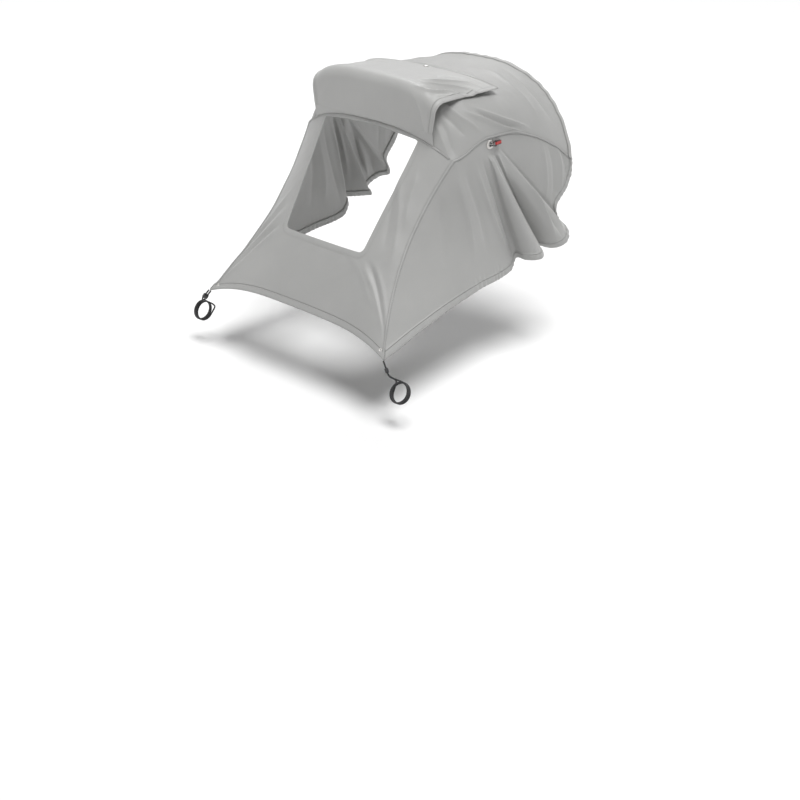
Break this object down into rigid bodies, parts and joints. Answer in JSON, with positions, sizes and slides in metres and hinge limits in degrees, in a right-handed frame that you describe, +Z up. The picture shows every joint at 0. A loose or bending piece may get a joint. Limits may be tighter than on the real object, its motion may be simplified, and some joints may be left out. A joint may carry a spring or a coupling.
{
  "type": "pram sun shade",
  "caption": "Grey cloth sun shade that is pulled over a pram hood and tied to the push bar, with a window and a flap held open by a press stud",
  "frame": {"origin": "on top of the crown, in the middle, over the hood's front bow", "axes": "+X to the side that is right as seen from the push bar in the picture, -Y to the push bar, +Z up"},
  "size_m": [0.506, 0.4898, 0.4429],
  "materials": {
    "grey_cloth": "fine plain weave",
    "flap_cloth": "fine plain weave",
    "grey_tape": "plain tape",
    "white_elastic": "ribbed elastic",
    "nickel_plate": "satin plated",
    "black_cord": "braided elastic cord",
    "red_ribbon": "woven ribbon",
    "black_plastic": "moulded"
  },
  "bodies": {
    "sail": {"corner_eyelet_left": "nickel_plate", "corner_eyelet_right": "nickel_plate", "corner_patch_left": "grey_tape", "corner_patch_right": "grey_tape", "crown_panel": "grey_cloth", "crown_seam": "grey_tape", "eyelet_left": "nickel_plate", "eyelet_right": "nickel_plate", "eyelet_washer_left": "nickel_plate", "eyelet_washer_right": "nickel_plate", "flap_root": "flap_cloth", "front_hem": "grey_tape", "front_panel": "grey_cloth", "pull_loop_left": "black_cord", "pull_loop_right": "black_cord", "rear_elastic": "white_elastic", "rear_hem": "grey_cloth", "side_elastic_left": "white_elastic", "side_elastic_right": "white_elastic", "side_hem_left": "grey_cloth", "side_hem_right": "grey_cloth", "side_panel_left": "grey_cloth", "side_panel_right": "grey_cloth", "side_seam_left": "grey_tape", "side_seam_right": "grey_tape", "stud_head": "nickel_plate", "stud_post": "nickel_plate", "tie_cord_left": "black_cord", "tie_cord_right": "black_cord", "window_hem": "grey_tape"},
    "flap_lower": {"flap_front": "flap_cloth", "flap_front_hem_left": "flap_cloth", "flap_front_hem_right": "flap_cloth"},
    "flap_upper": {"flap_back": "flap_cloth", "flap_back_hem_left": "flap_cloth", "flap_back_hem_right": "flap_cloth", "flap_edge_hem": "flap_cloth", "stud_cap": "nickel_plate", "stud_socket": "nickel_plate"},
    "tab_left": {"pull_tab_left": "red_ribbon"},
    "tab_right": {"pull_tab_right": "red_ribbon"},
    "slider_left": {"tie_slider_left": "black_plastic"},
    "slider_right": {"tie_slider_right": "black_plastic"}
  },
  "joints": [
    {"name": "flap_hinge", "type": "hinge", "parent": "sail", "child": "flap_lower", "pos_m": [0, -0.021, -0.0655], "axis": [1, 0, 0], "range_deg": [0, 135]},
    {"name": "flap_fold", "type": "hinge", "parent": "flap_lower", "child": "flap_upper", "pos_m": [0, -0.0214, 0.0029], "axis": [1, 0, 0], "range_deg": [0, 104]},
    {"name": "tab_swing_right", "type": "hinge", "parent": "sail", "child": "tab_right", "pos_m": [0.18149, 0.08291, -0.09256], "axis": [0.0526, 0.09, -0.9946], "range_deg": [0, 100]},
    {"name": "tab_swing_left", "type": "hinge", "parent": "sail", "child": "tab_left", "pos_m": [-0.18149, 0.08291, -0.09256], "axis": [0.0526, -0.09, 0.9946], "range_deg": [0, 100]},
    {"name": "slide_right", "type": "slide", "parent": "sail", "child": "slider_right", "axis": [-0.6065, 0.1772, 0.7751], "range_m": [0, 0.008]},
    {"name": "slide_left", "type": "slide", "parent": "sail", "child": "slider_left", "axis": [0.6065, 0.1772, 0.7751], "range_m": [0, 0.008]}
  ],
  "couplings": [
    {"joint": "flap_fold", "follows": "flap_hinge", "ratio": 0.77}
  ]
}
